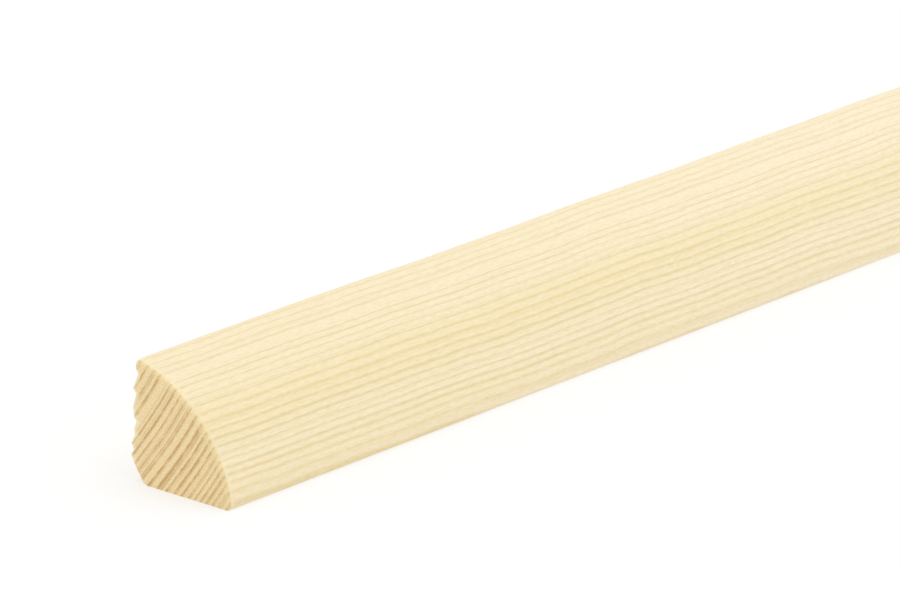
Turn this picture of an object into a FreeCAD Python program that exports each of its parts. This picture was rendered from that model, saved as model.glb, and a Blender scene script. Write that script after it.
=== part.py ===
"""Quarter round moulding: one length of planed pine trim, sawn square at both ends.

The section fits a ten millimetre square. A shallow round makes the front, from a narrow land at
the top to a narrow land at the toe. The corner between the back and the base is cut away, so that
the moulding seats in a corner that isn't quite true.

Sizes are in millimetres. X runs along the length, -Y is the rounded front and Z is up. The moulding
stands on its base, and the origin is at the middle of the rectangle around it, on that base.
"""

import FreeCAD
import Part
import math
import os

# The stock
LENGTH = 1000.0
DEPTH = 10.0  # from the back to the toe
HEIGHT = 10.0  # from the base to the top

# The rounded front
TOP_LAND = 0.25  # level strip between the eased top edge and the round
TOE_LAND = 0.7  # upright strip between the round and the eased toe
ROUND_RISE = 1.78  # how far the round stands out from the straight line between its ends

# The cut-away corner between the back and the base
CUT_UP_BACK = 2.0
CUT_ALONG_BASE = 1.45
CUT_EASE_RADIUS = 0.8  # where the cut runs out into the base

# Edges
EDGE_EASE_RADIUS = 0.3  # planed edges, along the length
END_BREAK = 0.25  # sanded off the arris of the round, at each sawn end

# Where the back and the toe stand about the middle of the depth
BACK = DEPTH / 2
TOE = -DEPTH / 2


def on_section(y, z):
    """A point of the section, at the end that the extrusion starts from."""
    return FreeCAD.Vector(-LENGTH / 2, y, z)


def line(start, end):
    return Part.LineSegment(start, end).toShape()


def arc(start, middle, end):
    return Part.Arc(start, middle, end).toShape()


def eased(before, corner, after, radius):
    """Start, middle and end of the arc that rounds the corner between two straight runs."""
    to_before = (before - corner).normalize()
    to_after = (after - corner).normalize()
    half_angle = to_before.getAngle(to_after) / 2
    run = radius / math.tan(half_angle)
    depth = radius / math.sin(half_angle) - radius
    bisector = (to_before + to_after).normalize()
    return corner + to_before * run, corner + bisector * depth, corner + to_after * run


def rounded_front():
    """The edge of the round, from the land at the top to the land at the toe."""
    top = on_section(BACK - EDGE_EASE_RADIUS - TOP_LAND, HEIGHT)
    toe = on_section(TOE, EDGE_EASE_RADIUS + TOE_LAND)
    chord = toe - top
    outward = FreeCAD.Vector(0, chord.z, -chord.y).normalize()
    return arc(top, (top + toe) / 2 + outward * ROUND_RISE, toe)


def section_outline(front):
    """Closed outline of the section, from the base round by the back, the top and the front."""
    toe_corner = on_section(TOE, 0)
    cut_in_base = on_section(BACK - CUT_ALONG_BASE, 0)
    cut_in_back = on_section(BACK, CUT_UP_BACK)
    top_corner = on_section(BACK, HEIGHT)
    round_top = front.firstVertex().Point
    round_toe = front.lastVertex().Point

    base_ease = eased(toe_corner, cut_in_base, cut_in_back, CUT_EASE_RADIUS)
    back_ease = eased(cut_in_base, cut_in_back, top_corner, EDGE_EASE_RADIUS)
    top_ease = eased(cut_in_back, top_corner, round_top, EDGE_EASE_RADIUS)
    toe_ease = eased(round_toe, toe_corner, cut_in_base, EDGE_EASE_RADIUS)

    return Part.Wire(
        [
            line(toe_ease[-1], base_ease[0]),
            arc(*base_ease),
            line(base_ease[-1], back_ease[0]),
            arc(*back_ease),
            line(back_ease[-1], top_ease[0]),
            arc(*top_ease),
            line(top_ease[-1], round_top),
            front,
            line(round_toe, toe_ease[0]),
            arc(*toe_ease),
        ]
    )


def end_ring(front, end, inward):
    """A ring about the axis of the round that bevels its arris at one end, at 45 degrees.

    The ring runs out over the two lands, so the bevel fades away at both ends of the round.
    """
    circle = front.Curve
    axis = FreeCAD.Vector(end, circle.Center.y, circle.Center.z)
    inner = axis + FreeCAD.Vector(0, 0, circle.Radius - END_BREAK)
    outer = axis + FreeCAD.Vector(0, 0, circle.Radius + END_BREAK)
    along = outer + FreeCAD.Vector(inward * 2 * END_BREAK, 0, 0)
    bevel = Part.Face(Part.makePolygon([inner, outer, along, inner]))
    return bevel.revolve(axis, FreeCAD.Vector(1, 0, 0), 360)


def moulding():
    """The section run out to its length, with the arris of the round broken at both ends."""
    front = rounded_front()
    stock = Part.Face(section_outline(front)).extrude(FreeCAD.Vector(LENGTH, 0, 0))
    return stock.cut([end_ring(front, -LENGTH / 2, 1), end_ring(front, LENGTH / 2, -1)])


os.makedirs("parts", exist_ok=True)
moulding().exportStep("parts/moulding.step")
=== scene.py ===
"""Looks of a pine quarter round moulding: its planed faces, sawn ends and torn back arris.

The moulding is swept by a Geometry Nodes tree from the same section as the solid. One field of
growth rings runs through the whole stick: it draws the lines on the planed faces and the bands on
the sawn ends, and it bends where the top arris dips. Lengths are in metres in the frame and in
millimetres inside the wood patterns.
"""

import math

import bpy
from mathutils import Color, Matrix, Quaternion, Vector


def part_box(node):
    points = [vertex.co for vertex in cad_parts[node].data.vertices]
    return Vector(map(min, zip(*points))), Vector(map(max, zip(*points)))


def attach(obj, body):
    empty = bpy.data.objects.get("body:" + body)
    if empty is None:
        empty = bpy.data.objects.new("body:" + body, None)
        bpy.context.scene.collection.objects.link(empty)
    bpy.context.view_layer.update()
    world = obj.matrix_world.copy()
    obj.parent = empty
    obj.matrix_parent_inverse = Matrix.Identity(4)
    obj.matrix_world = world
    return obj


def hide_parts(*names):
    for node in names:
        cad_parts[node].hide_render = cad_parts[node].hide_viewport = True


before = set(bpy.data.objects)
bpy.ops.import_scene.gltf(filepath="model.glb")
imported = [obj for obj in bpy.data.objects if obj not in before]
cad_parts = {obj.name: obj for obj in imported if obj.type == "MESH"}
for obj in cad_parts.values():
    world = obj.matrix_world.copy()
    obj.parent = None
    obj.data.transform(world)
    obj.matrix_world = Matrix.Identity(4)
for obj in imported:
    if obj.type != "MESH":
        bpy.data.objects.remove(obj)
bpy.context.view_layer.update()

MM = 0.001

# The stock, from the frame
LOW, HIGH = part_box("moulding")
LENGTH, DEPTH, HEIGHT = HIGH - LOW
NEAR_END = Vector((LOW[0], 0.0, 0.0))
HALF_LENGTH_MM = LENGTH / MM / 2

# The section, as in the solid
TOP_LAND = 0.25 * MM
TOE_LAND = 0.7 * MM
ROUND_RISE = 1.78 * MM
CUT_UP_BACK = 2.0 * MM
CUT_ALONG_BASE = 1.45 * MM
CUT_EASE_RADIUS = 0.8 * MM
EDGE_EASE_RADIUS = 0.3 * MM
END_BREAK = 0.25 * MM

# How the swept mesh is divided
POINTS_AROUND = 360
STATIONS = 150
NEAR_END_RINGS = 20
FAR_END_RINGS = 14
STATION_GRADING = 2.6  # stations crowd towards the near end
RING_GRADING = 1.6  # rings of points on an end crowd towards its edge
POINTS_ON_EASE = 8
POINTS_ON_ROUND = 120
END_MIDDLE = (-0.12, 0.52)  # where an end's rings of points close, as shares of the depth and height
MERGE_DISTANCE = 0.002 * MM
SHARP_ANGLE = 28.0  # degrees between faces, from which an edge looks sharp

# The map that colours are baked through, as shares of its side
MAP_MARGIN = 0.01
MAP_STRIP_TOP = 0.67  # of the strip that holds the planed faces
MAP_END_SIZE = 0.28
MAP_END_BASE = 0.7
MAP_END_MIDDLE = 0.16  # of the near end
MAP_END_SHIFT = 0.34  # from the near end to the far one

# The torn back arris of the near end, in millimetres from the base up: each height, and how deep
# it is torn there
TORN_BACK = (
    (0.0, 0.0),
    (2.0, 0.08),
    (2.25, 0.01),
    (2.65, 0.27),
    (3.1, 0.02),
    (3.55, 0.18),
    (3.85, 0.32),
    (4.3, 0.22),
    (5.0, 0.45),
    (5.25, 0.2),
    (6.05, 0.05),
    (6.95, 0.28),
    (7.3, 0.28),
    (7.6, 0.0),
    (8.9, 0.46),
    (9.3, 0.2),
    (10.0, 0.22),
)
TEAR_DEPTH = 0.5 * MM  # the most that the tear can take
TEAR_REACH = 1.8 * MM  # along the length
TEAR_STRIP = 0.6 * MM  # in from the back, where the tear has faded out
TORN_EDGE = 0.45 * MM  # width of the pale, fuzzy edge along the tear
WORN_EDGE = 0.65 * MM  # how far in on an end the worn arris of the round shows

# In the patterns below, a scale is for each millimetre along the stick, across it and up. A step is
# where a soft change starts and ends, and a range is what it gives there.

# The dips of the top arris
DIP_DEPTH = 0.15 * MM
DIP_FADE_DOWN = 1.0 * MM  # below the top, where a dip has faded out
DIP_FADE_IN = 1.4 * MM  # in from the back, where a dip has faded out
DIP_WHOLE_IN = 0.4 * MM  # in from the back, up to where a dip is whole
DIP_SCALE = (1 / 30, 0.0, 0.0)
DIP_SEED = 1739.0  # for where the dips fall
DIP_STEP = (0.38, 0.62)  # of the noise
DIP_START = (1.0, 8.0)  # from the near end, in millimetres

# The growth rings, in millimetres: arcs about the heart of the tree, far behind the moulding
HEART_Y = 59.66
HEART_Z = 42.47
MIDDLE_RING_RADIUS = 70.99
RING_SPACING = 0.64
RING_START = -0.249
RING_SWELLS = ((0.70, 8.50, 2.876), (0.598, 10.585, 5.542))  # size in rings, wavelength, phase
GRAIN_SLOPE = 0.0045  # the rings climb across the stick along its length
SWING = 0.5  # slow sway of the rings
SWING_SCALE = (1 / 90, 1 / 30, 1 / 30)
RIPPLE = 0.45  # quicker waves on that sway
RIPPLE_SCALE = (1 / 11, 1 / 12, 1 / 12)
BEND_STEP = (6.0, -2.0)  # across the rings, from the toe up to the top
BEND_RANGE = (0.05, 0.22)  # of the rings under a whole dip of the top arris

# The line of each ring
RING_SEED = 1436  # for how strong each ring is
RING_STRENGTH_RANGE = (0.65, 1.0)
RING_WIDTH_RANGE = (0.6, 1.3)  # times the width that a material asks for
MISSING_RING = -7  # a ring too faint to see
SAME_RING = 0.1  # ring numbers no further apart than this are the same
RAGGED_SCALE = (0.3, 2.5, 2.5)
RESIN_BANDS = ((-0.9, 1.7), (4.1, 12.0))  # from and to, across the rings
RESIN_SOFTNESS = 0.4
RESIN_WIDENS = 0.3  # added to the width of a ring in a resin band
FINE_RING_SPACING = 0.33  # false rings, faint lines between the others
FINE_RING_SEED = 41
FINE_RING_WIDTH = 0.48  # of each side of a line, as a share of their spacing
FINE_RING_STEP = (0.15, 0.9)  # of the random number that makes a line faint or strong

# The planed faces
FACE_RINGS = {"Sharp Side": 0.22, "Soft Side": 0.34, "Ragged": 0.16, "Fine Lines": 0.35}
FACE_PATCH_SCALE = (1 / 2.5, 3.0, 3.0)  # of the patches that lines are stronger or weaker in
FACE_PATCH_STEP = (0.2, 0.6)
FACE_PATCH_RANGE = (0.6, 1.1)
FACE_LINE_STEP = (-6.0, 3.5)  # across the rings, from the top down to the toe
FACE_LINE_RANGE = (0.7, 1.0)
PAINTED_HIGHLIGHT_LINE_START = (0.15, 0.6)  # from a sawn end; the paler band before the lines come in is a painted highlight along the arris
ARRIS_STEP = (0.3, 0.02)  # from a sawn end, where the face has the tone of the worn arris
ARRIS_LINE_STRENGTH = 0.6
HANDLED_STEP = (110.0, 5.0)  # from the near end, which is creamier
STAIN_RISE = (-2.2, -0.6)  # across the rings, on the upper side of the resin stain
STAIN_FALL = (3.8, 0.6)  # and on its lower side
FIBRE_SCALE = (1.4, 7.0, 7.0)
FIBRE_STEP = (0.2, 0.8)
FIBRE_ROUGHNESS = 0.1
LINE_GLOSS = 0.08  # taken off the roughness on a line
FACE_ROUGHNESS = 0.62
FACE_SPECULAR = 0.3
FACE_RELIEF = 0.01 * MM
FACE_LINE_RELIEF = 0.4  # share of the relief that the lines make; the fibres make the rest

# The sawn ends
END_RINGS = {"Sharp Side": 0.2, "Soft Side": 0.42, "Ragged": 0.2, "Fine Lines": 0.6}
END_PATCH_SCALE = (1.0, 1.0, 1.0)
END_PATCH_STEP = (0.25, 0.6)
END_PATCH_RANGE = (0.5, 1.0)
END_LINE_STEP = (2.5, 6.0)  # across the rings, from the middle down to the toe
END_LINE_RANGE = (1.0, 0.75)
EDGE_LINE_LOSS = 0.6  # how much of a line the worn and torn edges take
SPECKLE_SCALE = (2.0, 9.0, 9.0)
SPECKLE_SHADE_RANGE = (0.605, 1.365)
END_ROUGHNESS_RANGE = (0.8, 0.7)
END_SPECULAR = 0.2
END_RELIEF = 0.02 * MM
END_LINE_RELIEF = 0.3  # share of the relief that the lines make; the speckle makes the rest

# Colours, as red, green and blue on the screen
SCREEN_WHITE = 255
FACE_CREAM = (253, 237, 202)
FACE_PALE = (255, 241, 210)
HONEY = (253, 252, 246)  # laid over the ground by the resin stain
FACE_LINE = (236, 232, 211)  # laid over the ground
RESIN_LINE = (243, 237, 213)  # laid over the ground
FIBRE = (246, 245, 239)  # laid over the whole face
END_PALE = (249, 225, 175)
END_LINE = (202, 162, 102)
ARRIS = (252, 229, 175)  # worn round from the end to the face
TORN_PALE = (255, 241, 202)

# The studio
WHITE = (1.0, 1.0, 1.0, 1.0)
WORLD_LEVEL = 0.92  # of the light that falls on things
LAMP_SIZE = 1.5
LAMP_POWER = 5.5
LAMP_AIM = NEAR_END + Vector((0.05, 0.0, 0.0))
LAMP_DISTANCE = 2.0
LAMP_AZIMUTH = 20.0
LAMP_ELEVATION = 76.0
FLOOR_REACH = 8.0
FLOOR_TONE = 0.88  # for the light that it throws back
FLOOR_ROUGHNESS = 0.9
FLOOR_GLOW = 0.5  # share of the floor's light that is its own

# The camera
CAMERA_PLACE = NEAR_END + Vector((-0.45511, -0.37202, 0.21308))
CAMERA_AZIMUTH = -52.710
CAMERA_ELEVATION = 18.4645
CAMERA_ROLL = 2.470
CAMERA_LENS = 322.91
CAMERA_SENSOR = 36.0


class Wire:
    """What comes out of a node. Sums on it add nodes, so a tree reads like the formula it makes."""

    def __init__(self, tree, socket):
        self.tree = tree
        self.socket = socket

    def sum(self, operation, *others):
        return combined(self.tree, operation, self, *others)

    def __add__(self, other):
        return self.sum("ADD", other)

    def __sub__(self, other):
        return self.sum("SUBTRACT", other)

    def __rsub__(self, other):
        return combined(self.tree, "SUBTRACT", other, self)

    def __mul__(self, other):
        return self.sum("MULTIPLY", other)

    def __truediv__(self, other):
        return self.sum("DIVIDE", other)

    __radd__ = __add__
    __rmul__ = __mul__

    def length(self):
        return self.sum("LENGTH")

    def unit(self):
        return self.sum("NORMALIZE")

    def clamped(self):
        return self.sum("MINIMUM", 1.0).sum("MAXIMUM", 0.0)

    def axes(self):
        """The x, y and z of a vector."""
        node = added(self.tree, "ShaderNodeSeparateXYZ", {"Vector": self})
        return [Wire(self.tree, socket) for socket in node.outputs]

    def step(self, low, high):
        """A smooth step from nought at low to one at high."""
        values = {"Value": self, "From Min": low, "From Max": high}
        return wired(self.tree, "ShaderNodeMapRange", values, interpolation_type="SMOOTHSTEP")

    def between(self, low, high):
        """Spread out, so that nought gives low and one gives high."""
        return self * (high - low) + low


def feed(tree, socket, value):
    """Joins a wire to a socket, or sets a plain value on it."""
    if isinstance(value, Wire):
        tree.links.new(value.socket, socket)
    elif socket.type == "VECTOR" and isinstance(value, (int, float)):
        socket.default_value = (value, value, value)
    else:
        socket.default_value = value


def added(tree, kind, values=None, **settings):
    """A new node with its settings made and its inputs fed."""
    node = tree.nodes.new(kind)
    for name, setting in settings.items():
        setattr(node, name, setting)
    for name, value in (values or {}).items():
        feed(tree, node.inputs[name], value)
    return node


def wired(tree, kind, values, **settings):
    """The first output of a new node."""
    return Wire(tree, added(tree, kind, values, **settings).outputs[0])


def is_vector(value):
    return isinstance(value, tuple) or isinstance(value, Wire) and value.socket.type == "VECTOR"


def combined(tree, operation, *values):
    """One sum on numbers or on vectors, as a node."""
    kind = "ShaderNodeVectorMath" if any(map(is_vector, values)) else "ShaderNodeMath"
    node = added(tree, kind, operation=operation)
    for socket, value in zip(node.inputs, values):
        feed(tree, socket, value)
    gives_number = kind == "ShaderNodeMath" or operation in ("LENGTH", "DOT_PRODUCT")
    return Wire(tree, node.outputs["Value" if gives_number else "Vector"])


def joined(tree, x, y, z):
    """A vector from its x, y and z."""
    return wired(tree, "ShaderNodeCombineXYZ", {"X": x, "Y": y, "Z": z})


def noise(tree, point, scale, detail=1.0):
    """Smooth noise about a half, stretched by a scale for each axis."""
    return wired(tree, "ShaderNodeTexNoise", {"Vector": point * scale, "Scale": 1.0, "Detail": detail})


def curve_through(tree, value, points):
    """Straight runs through pairs of a value and what it gives, all from nought to one."""
    node = added(tree, "ShaderNodeFloatCurve", {"Value": value})
    curve = node.mapping.curves[0]
    for end, pair in zip(curve.points, (points[0], points[-1])):
        end.location = pair
    for pair in points[1:-1]:
        curve.points.new(*pair)
    for point in curve.points:
        point.handle_type = "VECTOR"
    node.mapping.update()
    return Wire(tree, node.outputs["Value"])


def chance(tree, number):
    """A fixed random number from nought to one for each whole number."""
    return wired(tree, "ShaderNodeTexWhiteNoise", {"W": number}, noise_dimensions="1D")


def new_tree(kind, name, inputs, outputs):
    """A node tree with named sockets, a wire for each input, and its output node."""
    tree = bpy.data.node_groups.new(name, kind)
    for in_out, sockets in (("INPUT", inputs), ("OUTPUT", outputs)):
        for socket_name, socket_type in sockets.items():
            tree.interface.new_socket(name=socket_name, in_out=in_out, socket_type=socket_type)
    entry = tree.nodes.new("NodeGroupInput")
    wires = {socket_name: Wire(tree, entry.outputs[socket_name]) for socket_name in inputs}
    return tree, wires, tree.nodes.new("NodeGroupOutput")


def arris_dips(tree, from_near):
    """How much the top arris dips at a distance from the near end, in millimetres, up to one."""
    along = joined(tree, from_near + DIP_SEED, 0.0, 0.0)
    return noise(tree, along, DIP_SCALE, detail=2.0).step(*DIP_STEP) * from_near.step(*DIP_START)


def growth_rings(tree, point):
    """How far a point of the wood, in millimetres, is across the rings, and its ring as a number.

    The rings bend where the top arris dips. The number is whole on the dark line of a ring.
    """
    x, y, z = point.axes()
    swing = noise(tree, point, SWING_SCALE) - 0.5
    ripple = noise(tree, point, RIPPLE_SCALE, detail=2.0) - 0.5
    from_heart = joined(tree, 0.0, y - HEART_Y, z - HEART_Z).length() - MIDDLE_RING_RADIUS
    from_near = x + HALF_LENGTH_MM
    bend = arris_dips(tree, from_near) * from_heart.step(*BEND_STEP).between(*BEND_RANGE)
    across = from_heart - from_near * GRAIN_SLOPE - bend + swing * SWING + ripple * RIPPLE
    phase = across / RING_SPACING + RING_START
    for size, wavelength, turn in RING_SWELLS:
        phase = phase + (across * (math.tau / wavelength) + turn).sum("SINE") * size
    return across, phase


def eased(before, corner, after, radius):
    """Start, middle and end of the arc that rounds the corner between two straight runs."""
    to_before = (before - corner).unit()
    to_after = (after - corner).unit()
    half_angle = to_before.sum("DOT_PRODUCT", to_after).sum("ARCCOSINE") * 0.5
    run = radius / half_angle.sum("TANGENT")
    depth = radius / half_angle.sum("SINE") - radius
    bisector = (to_before + to_after).unit()
    return corner + to_before * run, corner + bisector * depth, corner + to_after * run


def arc(tree, ends, count):
    """A curve through the start, middle and end of an arc."""
    values = dict(zip(("Start", "Middle", "End"), ends), Resolution=count)
    return wired(tree, "GeometryNodeCurveArc", values, mode="POINTS")


def section(tree, size):
    """The closed outline of the section, the centre of its round and the round's radius."""
    back = size["Depth"] * 0.5
    toe = size["Depth"] * -0.5
    edge = size["Edge Ease"]
    toe_corner = joined(tree, 0.0, toe, 0.0)
    cut_in_base = joined(tree, 0.0, back - size["Cut Along Base"], 0.0)
    cut_in_back = joined(tree, 0.0, back, size["Cut Up Back"])
    top_corner = joined(tree, 0.0, back, size["Height"])
    round_top = joined(tree, 0.0, back - edge - size["Top Land"], size["Height"])
    round_toe = joined(tree, 0.0, toe, edge + size["Toe Land"])

    chord = round_toe - round_top
    _, chord_y, chord_z = chord.axes()
    outward = joined(tree, 0.0, chord_z, chord_y * -1.0).unit()
    chord_middle = (round_top + round_toe) * 0.5
    rise = size["Round Rise"]
    half = chord.length() * 0.5
    radius = (half * half + rise * rise) / (rise * 2.0)
    centre = chord_middle - outward * (radius - rise)

    arcs = (
        (eased(toe_corner, cut_in_base, cut_in_back, size["Cut Ease"]), POINTS_ON_EASE),
        (eased(cut_in_base, cut_in_back, top_corner, edge), POINTS_ON_EASE),
        (eased(cut_in_back, top_corner, round_top, edge), POINTS_ON_EASE),
        ((round_top, chord_middle + outward * rise, round_toe), POINTS_ON_ROUND),
        (eased(round_toe, toe_corner, cut_in_base, edge), POINTS_ON_EASE),
    )
    gathered = tree.nodes.new("GeometryNodeJoinGeometry")
    for ends, count in reversed(arcs):
        feed(tree, gathered.inputs[0], arc(tree, ends, count))
    runs = Wire(tree, gathered.outputs[0])
    points = wired(tree, "GeometryNodeCurveToPoints", {"Curve": runs}, mode="EVALUATED")
    outline = wired(tree, "GeometryNodePointsToCurves", {"Points": points})
    closed = wired(tree, "GeometryNodeSetSplineCyclic", {"Geometry": outline, "Cyclic": True})
    return closed, centre, radius


def row_places(size, row):
    """The station of a row of points, how far it is from the near end, and how far in on an end.

    The first rows lie on the near end face, the next ones along the stick, the last on the far end.
    """
    station = row - size["Near End Rings"]
    far_row = (station - size["Stations"]).sum("MAXIMUM", 0.0)
    near_inward = (station * -1.0 / size["Near End Rings"]).clamped()
    far_inward = ((far_row - 1.0) / (size["Far End Rings"] - 1.0)).clamped()
    inward = (near_inward + far_inward).sum("POWER", size["Ring Grading"])
    share = (station / size["Stations"]).clamped().sum("POWER", size["Station Grading"])
    body = (size["Length"] - size["End Break"]) * share
    from_near = body + far_row.sum("MINIMUM", 1.0) * size["End Break"]
    return station, from_near, inward


def bevelled(size, spoke, round_radius, from_end):
    """A spoke from the axis of the round to the outline, cut short by the bevel at an end."""
    to_break = (1.0 - from_end / size["End Break"]).clamped()
    rounding = 1.0 - (1.0 - to_break * to_break).sum("SQRT")
    allowed = round_radius - size["End Break"] * rounding
    return spoke * (allowed / spoke.length()).sum("MINIMUM", 1.0)


def tear(tree, size, y, z, from_near):
    """How deep the back arris is torn at a point, and how near that point is to the tear, up to one."""
    shares = [(height * MM / HEIGHT, depth * MM / TEAR_DEPTH) for height, depth in TORN_BACK]
    back = size["Depth"] * 0.5
    on_back = y.step(back - size["Tear Strip"], back)
    fade = (1.0 - from_near / size["Tear Reach"]).clamped()
    nearness = on_back * fade
    depth = curve_through(tree, z / size["Height"], shares) * size["Tear Depth"]
    return depth * fade * nearness, nearness


def dip(tree, size, y, z, from_near):
    """How far a point by the top arris lies below its place on the outline."""
    back = size["Depth"] * 0.5
    by_top = z.step(size["Height"] - size["Dip Fade Down"], size["Height"])
    by_back = y.step(back - size["Dip Fade In"], back - size["Dip Whole In"])
    return arris_dips(tree, from_near / MM) * size["Dip Depth"] * by_top * by_back


def stored(tree, geometry, name, value, data_type, domain):
    """The mesh with a named value kept on it."""
    values = {"Geometry": geometry, "Name": name, "Value": value}
    return wired(tree, "GeometryNodeStoreNamedAttribute", values, data_type=data_type, domain=domain)


def bake_map(tree, size, row, station, around, place):
    """The map that colours are baked through, and one on the faces of both ends.

    The planed faces are a long strip in the map, and the two ends lie side by side above it.
    """
    face_row = wired(tree, "GeometryNodeFieldOnDomain", {"Value": row}, domain="FACE", data_type="FLOAT")
    face_station = face_row - size["Near End Rings"]
    on_far_end = face_station.sum("GREATER_THAN", size["Stations"] + 1.0)
    on_end = face_station.sum("LESS_THAN", 0.0) + on_far_end

    along = (station / (size["Stations"] + 1.0)).between(MAP_MARGIN, 1.0 - MAP_MARGIN)
    strip = joined(tree, along, around.between(MAP_MARGIN, MAP_STRIP_TOP), 0.0)
    _, y, z = place.axes()
    across_end = y / size["Depth"] * MAP_END_SIZE + MAP_END_MIDDLE + on_far_end * MAP_END_SHIFT
    up_end = z / size["Height"] * MAP_END_SIZE + MAP_END_BASE
    island = joined(tree, across_end, up_end, 0.0)
    return strip + (island - strip) * on_end, on_end


def moulding_tree(inputs):
    """Sweeps the section along the length, closes both ends and tears the back arris of the near one."""
    outputs = {"Moulding": "NodeSocketGeometry"}
    tree, size, exit_node = new_tree("GeometryNodeTree", "moulding", inputs, outputs)
    outline, round_centre, round_radius = section(tree, size)

    # A sheet of points: across it they go round the section, up it from the near end to the far one
    rows = size["Near End Rings"] + size["Stations"] + size["Far End Rings"]
    counts = {"Vertices X": size["Points Around"] + 1.0, "Vertices Y": rows + 1.0}
    sheet = added(tree, "GeometryNodeMeshGrid", {"Size X": 1.0, "Size Y": 1.0, **counts})
    around, up, _ = Wire(tree, sheet.outputs["UV Map"]).axes()
    row = up * rows
    station, from_near, inward = row_places(size, row)
    from_end = from_near.sum("MINIMUM", size["Length"] - from_near)

    # The outline at each station: the round bevelled, the back arris torn, the top arris dipping
    on_outline = {"Curves": outline, "Factor": around}
    sampled = added(tree, "GeometryNodeSampleCurve", on_outline, mode="FACTOR")
    spoke = Wire(tree, sampled.outputs["Position"]) - round_centre
    _, y, z = (round_centre + bevelled(size, spoke, round_radius, from_end)).axes()
    tear_depth, by_tear = tear(tree, size, y, z, from_near)
    y = y - tear_depth
    z = z - dip(tree, size, y, z, from_near)
    x = from_near - size["Length"] * 0.5

    # The end faces run in to a middle point
    swept = joined(tree, x, y, z)
    middle_y, middle_z = END_MIDDLE
    end_middle = joined(tree, x, size["Depth"] * middle_y, size["Height"] * middle_z)
    place = swept + (end_middle - swept) * inward
    flat = Wire(tree, sheet.outputs["Mesh"])
    mesh = wired(tree, "GeometryNodeSetPosition", {"Geometry": flat, "Position": place})

    # How worn each point is along the arris of the round, and how torn along the back one
    end_break = size["End Break"]
    on_round = spoke.length().step(round_radius - end_break * 2.0, round_radius - end_break)
    to_arris = from_end + (place - swept).length()
    worn = on_round * to_arris.step(size["Worn Edge"], 0.0)
    torn = by_tear * to_arris.step(size["Torn Edge"], 0.0)
    mesh = stored(tree, mesh, "worn", worn, "FLOAT", "POINT")
    mesh = stored(tree, mesh, "torn", torn, "FLOAT", "POINT")

    map_place, on_end = bake_map(tree, size, row, station, around, place)
    mesh = stored(tree, mesh, "OFBake", map_place, "FLOAT2", "CORNER")
    mesh = wired(tree, "GeometryNodeMergeByDistance", {"Geometry": mesh, "Distance": MERGE_DISTANCE})
    mesh = wired(tree, "GeometryNodeRealizeInstances", {"Geometry": mesh})
    for selection, material in ((True, size["Planed Face"]), (on_end, size["Sawn End"])):
        values = {"Geometry": mesh, "Selection": selection, "Material": material}
        mesh = wired(tree, "GeometryNodeSetMaterial", values)
    feed(tree, exit_node.inputs["Moulding"], mesh)
    return tree


def linear(screen_colour):
    """A colour as nodes want it, from red, green and blue on the screen."""
    shares = Color([part / SCREEN_WHITE for part in screen_colour])
    return (*shares.from_srgb_to_scene_linear(), 1.0)


def mixed(tree, factor, first, second, blend="MIX"):
    """Two colours mixed by a factor."""
    node = added(tree, "ShaderNodeMix", data_type="RGBA", blend_type=blend)
    values = {"Factor_Float": factor, "A_Color": first, "B_Color": second}
    for socket in node.inputs:
        if socket.identifier in values:
            feed(tree, socket, values[socket.identifier])
    result = next(socket for socket in node.outputs if socket.identifier == "Result_Color")
    return Wire(tree, result)


def within_bands(value, bands, softness):
    """One inside each of the bands, falling softly to nought at their edges."""
    inside = 0.0
    for start, end in bands:
        rising = value.step(start - softness, start + softness)
        inside = rising * value.step(end + softness, end - softness) + inside
    return inside


def fine_lines(tree, across, ragged):
    """Faint lines of chance strength, closer together than the rings."""
    phase = across / FINE_RING_SPACING + ragged
    ring = phase.sum("ROUND")
    line = (phase - ring).sum("ABSOLUTE").step(FINE_RING_WIDTH, 0.0)
    return line * chance(tree, ring + FINE_RING_SEED).step(*FINE_RING_STEP)


def ring_group():
    """The growth rings as a shader group: their dark lines, the place across them, and the resin.

    The two sides of a line are each as wide as a share of a ring. Fine lines lie between the rings.
    """
    number = "NodeSocketFloat"
    inputs = {"Point": "NodeSocketVector", **dict.fromkeys(FACE_RINGS, number)}
    outputs = {"Line": number, "Across": number, "Resin": number}
    tree, wires, exit_node = new_tree("ShaderNodeTree", "growth_rings", inputs, outputs)
    across, phase = growth_rings(tree, wires["Point"])
    ragged = (noise(tree, wires["Point"], RAGGED_SCALE, detail=3.0) - 0.5) * wires["Ragged"]
    phase = phase + ragged
    ring = phase.sum("ROUND")
    past_ring = phase - ring
    resin = within_bands(across, RESIN_BANDS, RESIN_SOFTNESS)
    missing = ring.sum("COMPARE", MISSING_RING, SAME_RING)
    strength = chance(tree, ring + RING_SEED).between(*RING_STRENGTH_RANGE) * (1.0 - missing)
    width = chance(tree, ring).between(*RING_WIDTH_RANGE) + resin * RESIN_WIDENS
    sharp = past_ring.step(wires["Sharp Side"] * width * -1.0, 0.0)
    soft = 1.0 - past_ring.step(0.0, wires["Soft Side"] * width)
    fine = fine_lines(tree, across, ragged) * wires["Fine Lines"]
    line = (sharp * soft * strength).sum("MAXIMUM", fine)
    for name, wire in zip(outputs, (line, across, resin)):
        feed(tree, exit_node.inputs[name], wire)
    return tree


def new_material(name):
    """A node material, its tree and its shader."""
    material = bpy.data.materials.new(name)
    material.use_nodes = True
    return material, material.node_tree, material.node_tree.nodes["Principled BSDF"]


def wood_point(tree):
    """The point of the wood that a material is asked about, in millimetres."""
    return Wire(tree, tree.nodes.new("ShaderNodeTexCoord").outputs["Object"]) * (1 / MM)


def rings_in(tree, rings, point, values):
    """The line, place across and resin of the ring group, placed in a material with its own values."""
    node = added(tree, "ShaderNodeGroup", {"Point": point, **values}, node_tree=rings)
    return [Wire(tree, socket) for socket in node.outputs]


def mark(tree, name):
    """A mark that the sweep left on the surface, from nought to one."""
    return Wire(tree, added(tree, "ShaderNodeAttribute", attribute_name=name).outputs["Fac"])


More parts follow.
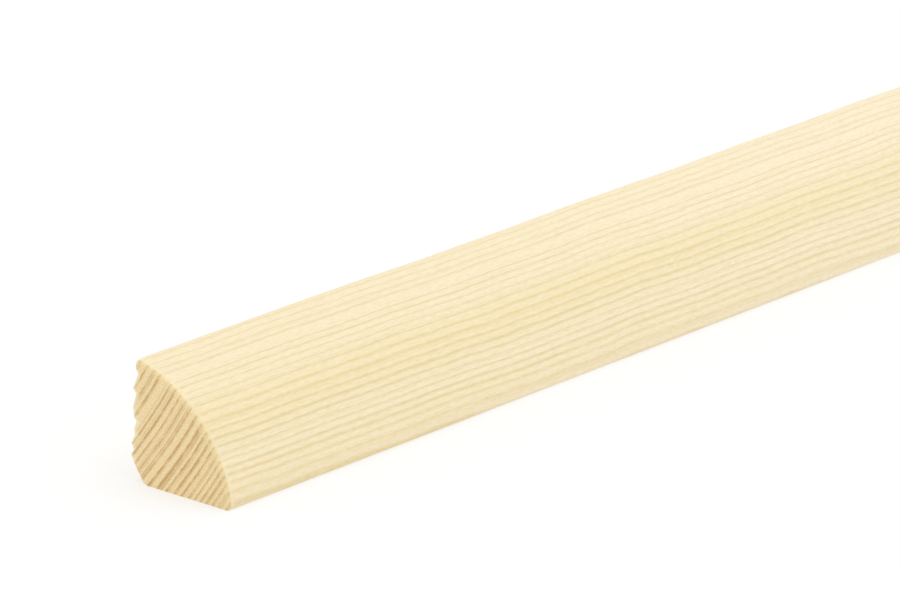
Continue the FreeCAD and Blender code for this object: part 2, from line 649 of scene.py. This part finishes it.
def bumped(tree, shader, height, distance):
    """Relief from a height of nought to one."""
    values = {"Height": height, "Distance": distance, "Strength": 1.0}
    feed(tree, shader.inputs["Normal"], wired(tree, "ShaderNodeBump", values))


def planed_face(rings):
    """Planed pine along the grain: pale, with fine ring lines that die out at the sanded arris, and held
    back beside it in a band that is a painted highlight.
    """
    material, tree, shader = new_material("planed_pine")
    point = wood_point(tree)
    line, across, resin = rings_in(tree, rings, point, FACE_RINGS)
    x, _, _ = point.axes()
    from_end = HALF_LENGTH_MM - x.sum("ABSOLUTE")
    from_near = x + HALF_LENGTH_MM

    arris = mixed(tree, line * ARRIS_LINE_STRENGTH, linear(ARRIS), linear(END_LINE))
    patches = noise(tree, point, FACE_PATCH_SCALE, detail=2.0).step(*FACE_PATCH_STEP)
    growing = across.step(*FACE_LINE_STEP).between(*FACE_LINE_RANGE)
    # Lines held back beside a sawn end leave a paler band there: a painted highlight along the arris.
    line = line * patches.between(*FACE_PATCH_RANGE) * growing * from_end.step(*PAINTED_HIGHLIGHT_LINE_START)
    fibres = noise(tree, point, FIBRE_SCALE)

    ground = mixed(tree, from_near.step(*HANDLED_STEP), linear(FACE_PALE), linear(FACE_CREAM))
    stained = across.step(*STAIN_RISE) * across.step(*STAIN_FALL)
    ground = mixed(tree, stained, ground, linear(HONEY), "MULTIPLY")
    ground = mixed(tree, from_end.step(*ARRIS_STEP), ground, arris)
    ground = mixed(tree, mark(tree, "torn"), ground, linear(TORN_PALE))
    tint = mixed(tree, resin, linear(FACE_LINE), linear(RESIN_LINE))
    wood = mixed(tree, line, ground, tint, "MULTIPLY")
    wood = mixed(tree, fibres.step(*FIBRE_STEP), wood, linear(FIBRE), "MULTIPLY")

    feed(tree, shader.inputs["Base Color"], wood)
    roughness = FACE_ROUGHNESS - line * LINE_GLOSS + (fibres - 0.5) * FIBRE_ROUGHNESS
    feed(tree, shader.inputs["Roughness"], roughness)
    shader.inputs["Specular IOR Level"].default_value = FACE_SPECULAR
    relief = fibres * (1.0 - FACE_LINE_RELIEF) + line * FACE_LINE_RELIEF
    bumped(tree, shader, relief, FACE_RELIEF)
    return material


def sawn_end(rings):
    """Sawn end grain: darker, with broad rings, fine speckle and a pale worn arris."""
    material, tree, shader = new_material("sawn_pine")
    point = wood_point(tree)
    line, across, _ = rings_in(tree, rings, point, END_RINGS)
    torn = mark(tree, "torn")

    patches = noise(tree, point, END_PATCH_SCALE, detail=2.0).step(*END_PATCH_STEP)
    fading = across.step(*END_LINE_STEP).between(*END_LINE_RANGE)
    line = line * patches.between(*END_PATCH_RANGE) * fading
    for edge in (mark(tree, "worn"), torn):
        line = line * (1.0 - edge * EDGE_LINE_LOSS)
    speckle = noise(tree, point, SPECKLE_SCALE, detail=2.0)

    ground = mixed(tree, torn, linear(END_PALE), linear(TORN_PALE))
    wood = mixed(tree, line, ground, linear(END_LINE))
    shade = speckle.between(*SPECKLE_SHADE_RANGE)
    feed(tree, shader.inputs["Base Color"], mixed(tree, 1.0, wood, shade, "MULTIPLY"))
    feed(tree, shader.inputs["Roughness"], speckle.between(*END_ROUGHNESS_RANGE))
    shader.inputs["Specular IOR Level"].default_value = END_SPECULAR
    relief = speckle * (1.0 - END_LINE_RELIEF) + line * END_LINE_RELIEF
    bumped(tree, shader, relief, END_RELIEF)
    return material


def sweep_values():
    """What the tree of the moulding is given, by the name of its input."""
    rings = ring_group()
    return {
        "Length": LENGTH,
        "Depth": DEPTH,
        "Height": HEIGHT,
        "Top Land": TOP_LAND,
        "Toe Land": TOE_LAND,
        "Round Rise": ROUND_RISE,
        "Cut Up Back": CUT_UP_BACK,
        "Cut Along Base": CUT_ALONG_BASE,
        "Cut Ease": CUT_EASE_RADIUS,
        "Edge Ease": EDGE_EASE_RADIUS,
        "End Break": END_BREAK,
        "Points Around": POINTS_AROUND,
        "Stations": STATIONS,
        "Near End Rings": NEAR_END_RINGS,
        "Far End Rings": FAR_END_RINGS,
        "Station Grading": STATION_GRADING,
        "Ring Grading": RING_GRADING,
        "Tear Depth": TEAR_DEPTH,
        "Tear Reach": TEAR_REACH,
        "Tear Strip": TEAR_STRIP,
        "Torn Edge": TORN_EDGE,
        "Worn Edge": WORN_EDGE,
        "Dip Depth": DIP_DEPTH,
        "Dip Fade Down": DIP_FADE_DOWN,
        "Dip Fade In": DIP_FADE_IN,
        "Dip Whole In": DIP_WHOLE_IN,
        "Planed Face": planed_face(rings),
        "Sawn End": sawn_end(rings),
    }


def swept_mesh(piece, tree, values):
    """The plain mesh that a tree makes on a piece when it is given these values."""
    sweep = piece.modifiers.new("sweep", "NODES")
    sweep.node_group = tree
    for socket in tree.interface.items_tree:
        if socket.in_out == "INPUT":
            sweep[socket.identifier] = values[socket.name]
    graph = bpy.context.evaluated_depsgraph_get()
    evaluated = piece.evaluated_get(graph)
    mesh = bpy.data.meshes.new_from_object(evaluated, preserve_all_data_layers=True, depsgraph=graph)
    piece.modifiers.clear()
    return mesh


def pine_moulding():
    """The whole stick as one piece, swept by its tree and made a plain mesh."""
    values = sweep_values()
    kinds = {int: "NodeSocketInt", float: "NodeSocketFloat", bpy.types.Material: "NodeSocketMaterial"}
    tree = moulding_tree({name: kinds[type(value)] for name, value in values.items()})

    piece = bpy.data.objects.new("pine_moulding", bpy.data.meshes.new("pine_moulding"))
    bpy.context.collection.objects.link(piece)
    piece.data = swept_mesh(piece, tree, values)
    piece.data.materials.pop(index=0)  # the sheet's own empty slot
    piece.data.shade_smooth()
    piece.data.set_sharp_from_angle(angle=math.radians(SHARP_ANGLE))
    return piece


def seen_directly(tree):
    """One for rays from the camera, mirrors and glass, nought for the light that falls on things."""
    path = tree.nodes.new("ShaderNodeLightPath")
    kinds = ("Is Camera Ray", "Is Glossy Ray", "Is Transmission Ray")
    camera, glossy, through = (Wire(tree, path.outputs[kind]) for kind in kinds)
    return camera.sum("MAXIMUM", glossy).sum("MAXIMUM", through)


def floor_material():
    """White where it is seen. Part of its light is its own, which keeps the moulding's shadow pale."""
    material, tree, shader = new_material("white_floor")
    shader.inputs["Roughness"].default_value = FLOOR_ROUGHNESS
    shader.inputs["Specular IOR Level"].default_value = 0.0
    tone = mixed(tree, seen_directly(tree), (FLOOR_TONE, FLOOR_TONE, FLOOR_TONE, 1.0), WHITE)
    feed(tree, shader.inputs["Base Color"], tone)
    glow = added(tree, "ShaderNodeEmission", {"Color": tone, "Strength": 1.0})
    blend = added(tree, "ShaderNodeMixShader", {"Fac": FLOOR_GLOW})
    tree.links.new(shader.outputs["BSDF"], blend.inputs[1])
    tree.links.new(glow.outputs["Emission"], blend.inputs[2])
    tree.links.new(blend.outputs["Shader"], tree.nodes["Material Output"].inputs["Surface"])
    return material


def white_floor():
    """A wide floor that the moulding lies on."""
    reach = FLOOR_REACH
    corners = [(-reach, -reach, 0), (reach, -reach, 0), (reach, reach, 0), (-reach, reach, 0)]
    mesh = bpy.data.meshes.new("floor")
    mesh.from_pydata(corners, [], [(0, 1, 2, 3)])
    mesh.materials.append(floor_material())
    floor = bpy.data.objects.new("floor", mesh)
    bpy.context.collection.objects.link(floor)


def direction(azimuth, elevation):
    """The way from the object to a place around it; azimuth nought is in front of the round."""
    turn = math.radians(azimuth)
    lift = math.radians(elevation)
    return Vector((math.sin(turn) * math.cos(lift), -math.cos(turn) * math.cos(lift), math.sin(lift)))


def studio_light():
    """Even white light from all round, and one large soft lamp above the near end."""
    world = bpy.data.worlds.new("studio")
    bpy.context.scene.world = world
    world.use_nodes = True
    tree = world.node_tree
    background = tree.nodes["Background"]
    background.inputs["Color"].default_value = WHITE
    feed(tree, background.inputs["Strength"], seen_directly(tree).between(WORLD_LEVEL, 1.0))

    lamp_data = bpy.data.lights.new("softbox", "AREA")
    lamp_data.size = LAMP_SIZE
    lamp_data.energy = LAMP_POWER
    lamp = bpy.data.objects.new("softbox", lamp_data)
    lamp.location = LAMP_AIM + direction(LAMP_AZIMUTH, LAMP_ELEVATION) * LAMP_DISTANCE
    lamp.rotation_euler = (LAMP_AIM - lamp.location).to_track_quat("-Z", "Y").to_euler()
    bpy.context.collection.objects.link(lamp)


def photo_camera():
    """A long lens on the near end, at the photograph's angle."""
    lens = bpy.data.cameras.new("camera")
    lens.sensor_width = CAMERA_SENSOR
    lens.lens = CAMERA_LENS
    camera = bpy.data.objects.new("camera", lens)
    camera.location = CAMERA_PLACE
    level = (-direction(CAMERA_AZIMUTH, CAMERA_ELEVATION)).to_track_quat("-Z", "Y")
    roll = Quaternion((0, 0, 1), math.radians(CAMERA_ROLL))
    camera.rotation_euler = (level @ roll).to_euler()
    bpy.context.collection.objects.link(camera)
    bpy.context.scene.camera = camera


bpy.context.scene.view_settings.view_transform = "Standard"
photo_camera()
studio_light()
white_floor()

moulding = pine_moulding()
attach(moulding, "root")
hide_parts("moulding")
